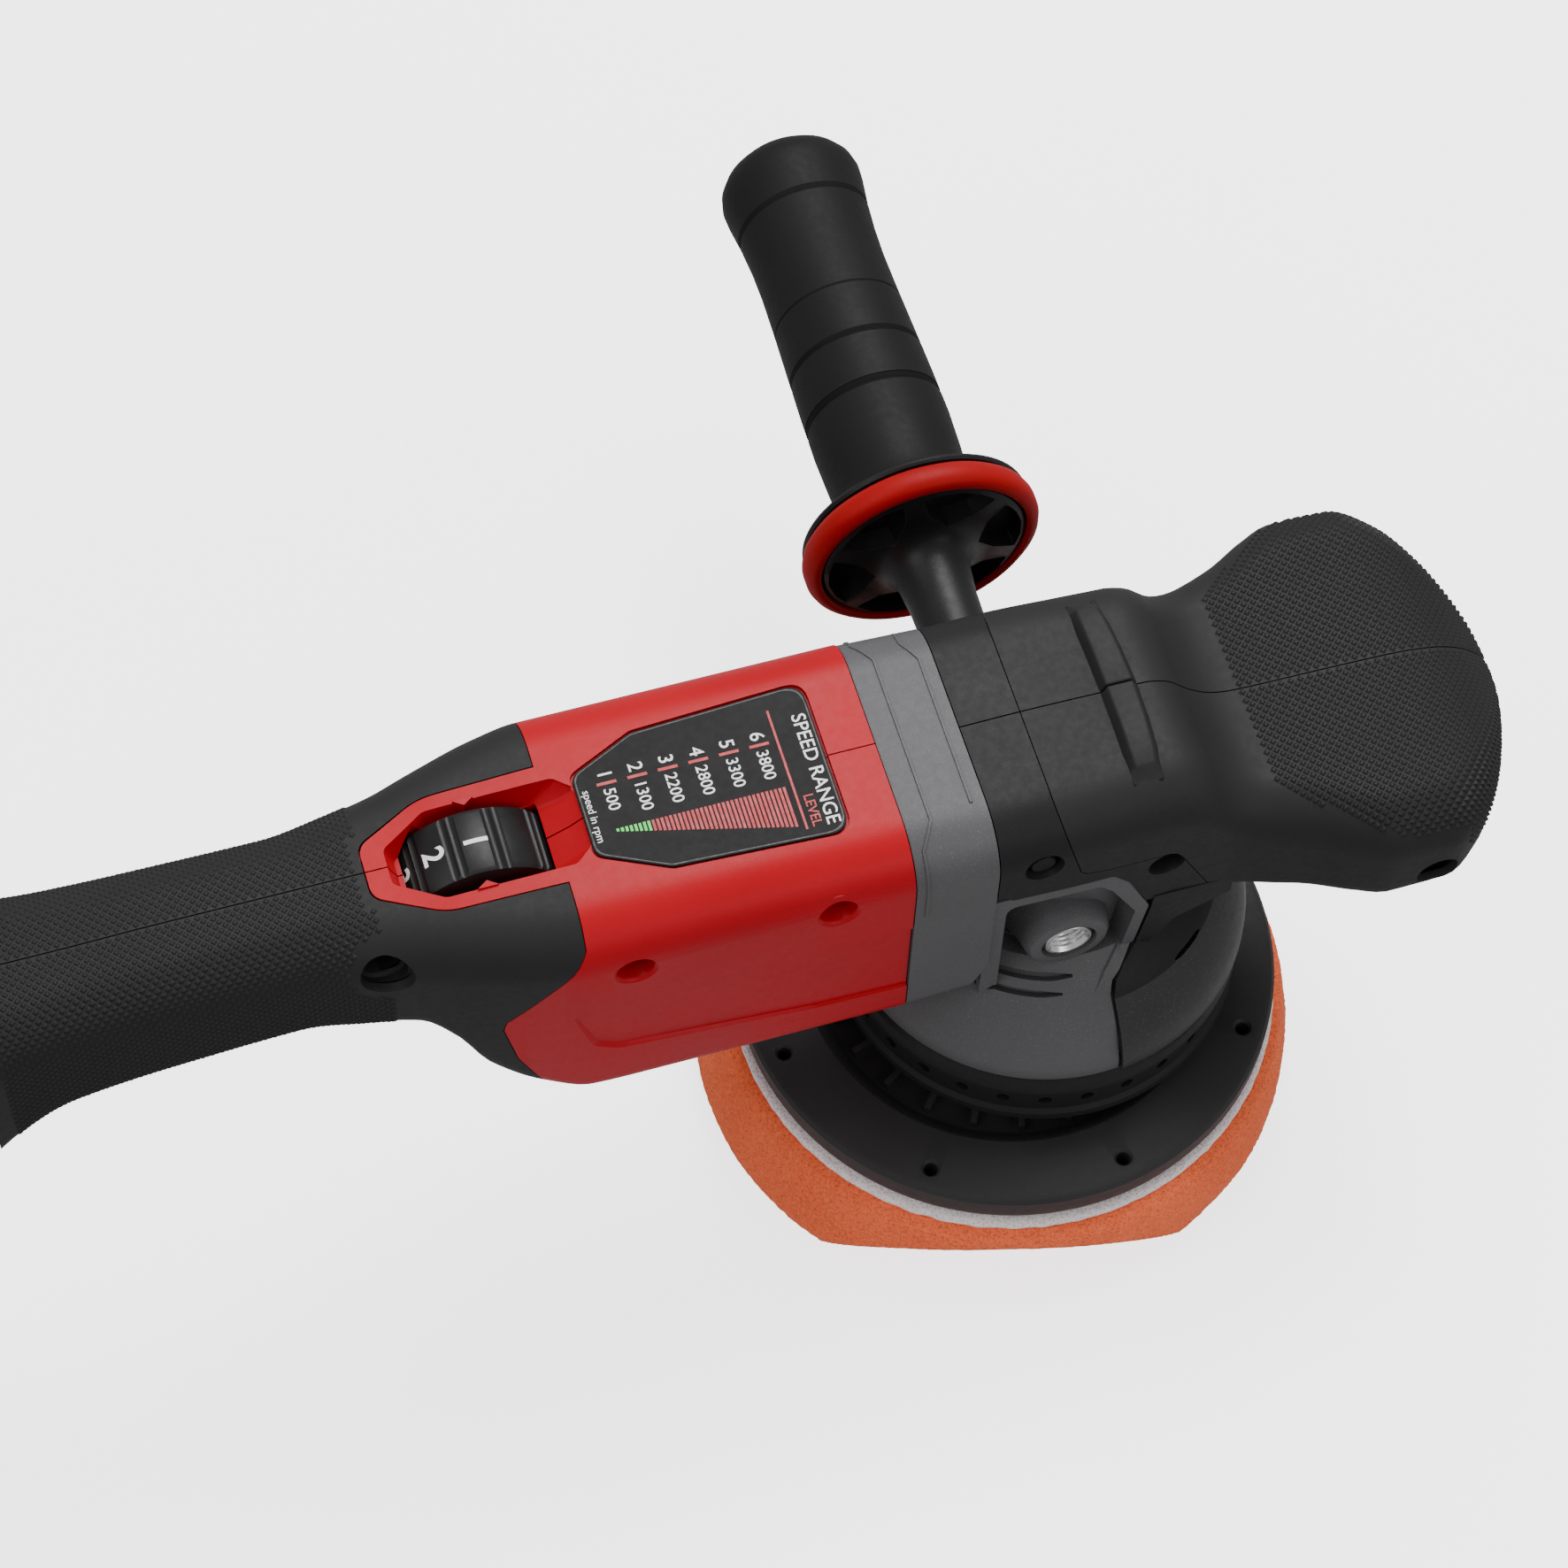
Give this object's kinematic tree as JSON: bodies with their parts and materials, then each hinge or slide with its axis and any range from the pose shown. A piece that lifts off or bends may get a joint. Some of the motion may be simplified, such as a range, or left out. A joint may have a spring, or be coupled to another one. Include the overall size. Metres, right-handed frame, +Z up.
{
  "type": "cordless dual action polisher",
  "caption": "Cordless dual action polisher: red motor body, rubber grip and nose, geared eccentric head, orange foam pad, side handle and slide-on battery.",
  "frame": {"origin": "on the drive spindle axis at the foam pad working face", "axes": "+X to the nose, +Y to the side handle, +Z up, away from the surface being polished"},
  "size_m": [0.4045, 0.258, 0.182],
  "materials": {
    "red_plastic": "fine-grained satin moulding",
    "grey_plastic": "speckled satin moulding",
    "black_plastic": "satin moulding",
    "black_rubber": "matt overmould",
    "red_rubber": "matt soft ring",
    "orange_foam": "open-cell polishing foam",
    "loop_cloth": "brushed loop layer",
    "label_film": "printed film, fine texture",
    "steel": "turned",
    "dark_steel": "hardened and blackened",
    "zinc_casting": "die cast",
    "copper_winding": "enamelled wire",
    "circuit_green": "solder mask",
    "cell_wrap": "shrink sleeve"
  },
  "bodies": {
    "housing": {"housing_left": "red_plastic", "housing_right": "red_plastic", "gear_housing": "grey_plastic", "speed_sensor": "black_plastic", "trigger_switch": "black_plastic", "terminal_block": "black_plastic", "head_cover_left": "black_plastic", "head_cover_right": "black_plastic", "vent_ring": "black_plastic", "handle_stem": "black_plastic", "grip_skin_left": "black_rubber", "grip_skin_right": "black_rubber", "motor_leads": "black_rubber", "head_boot_left": "black_rubber", "head_boot_right": "black_rubber", "handle_grip": "black_rubber", "handle_ring": "red_rubber", "speed_label": "label_film", "trigger_pin": "steel", "trigger_spring": "steel", "motor_bearing_front": "steel", "motor_bearing_rear": "steel", "spindle_bearing_lower": "steel", "spindle_bearing_upper": "steel", "handle_stud": "steel", "thread_insert_left": "steel", "thread_insert_right": "steel", "housing_screw_front": "steel", "housing_screw_rear": "steel", "grip_screw": "steel", "nose_screw": "steel", "band_screw": "steel", "stator_core": "dark_steel", "gearbox_cover": "zinc_casting", "stator_windings": "copper_winding", "controller_board": "circuit_green"},
    "spindle": {"drive_spindle": "steel", "crown_gear": "dark_steel", "eccentric_carrier": "zinc_casting", "eccentric_bearing": "steel"},
    "rotor": {"motor_shaft": "steel", "rotor_core": "dark_steel", "cooling_fan": "black_plastic", "pinion_gear": "dark_steel"},
    "pad": {"pad_spindle": "steel", "pad_screw": "steel", "backing_plate": "black_plastic", "loop_layer": "loop_cloth", "foam_pad": "orange_foam"},
    "dial": {"speed_wheel": "black_rubber"},
    "trigger_lever": {"trigger": "black_plastic"},
    "lock": {"lock_button": "black_plastic"},
    "battery": {"battery_base": "black_plastic", "battery_cover": "black_plastic", "battery_cell_1": "cell_wrap", "battery_cell_2": "cell_wrap", "battery_cell_3": "cell_wrap", "battery_cell_4": "cell_wrap", "battery_cell_5": "cell_wrap"},
    "latch": {"battery_latch": "red_plastic"}
  },
  "joints": [
    {"name": "spindle_spin", "type": "hinge", "parent": "housing", "child": "spindle", "pos_m": [0, 0, 0.09], "axis": [0, 0, 1], "continuous": true},
    {"name": "rotor_spin", "type": "hinge", "parent": "housing", "child": "rotor", "pos_m": [-0.06, 0, 0.111], "axis": [1, 0, 0], "continuous": true},
    {"name": "pad_spin", "type": "hinge", "parent": "spindle", "child": "pad", "pos_m": [-0.006, 0, 0.05], "axis": [0, 0, 1], "continuous": true},
    {"name": "speed_dial_turn", "type": "hinge", "parent": "housing", "child": "dial", "pos_m": [-0.128, 0, 0.135], "axis": [0, 1, 0], "range_deg": [0, 150]},
    {"name": "trigger_pull", "type": "hinge", "parent": "housing", "child": "trigger_lever", "pos_m": [-0.16, 0, 0.1244], "axis": [0, 1, 0], "range_deg": [0, 5.5], "stiffness_Nm_per_rad": 4, "springref_deg": -6.88},
    {"name": "lock_press", "type": "slide", "parent": "housing", "child": "lock", "axis": [0, -1, 0], "range_m": [0, 0.0025], "stiffness_N_per_m": 900, "springref_m": -0.002},
    {"name": "battery_slide", "type": "slide", "parent": "housing", "child": "battery", "axis": [0, 0, 1], "range_m": [0, 0.066]},
    {"name": "latch_press", "type": "slide", "parent": "battery", "child": "latch", "axis": [0, 0, -1], "range_m": [0, 0.0035], "stiffness_N_per_m": 1200, "springref_m": -0.002}
  ],
  "couplings": [
    {"joint": "rotor_spin", "follows": "spindle_spin", "ratio": 3}
  ]
}
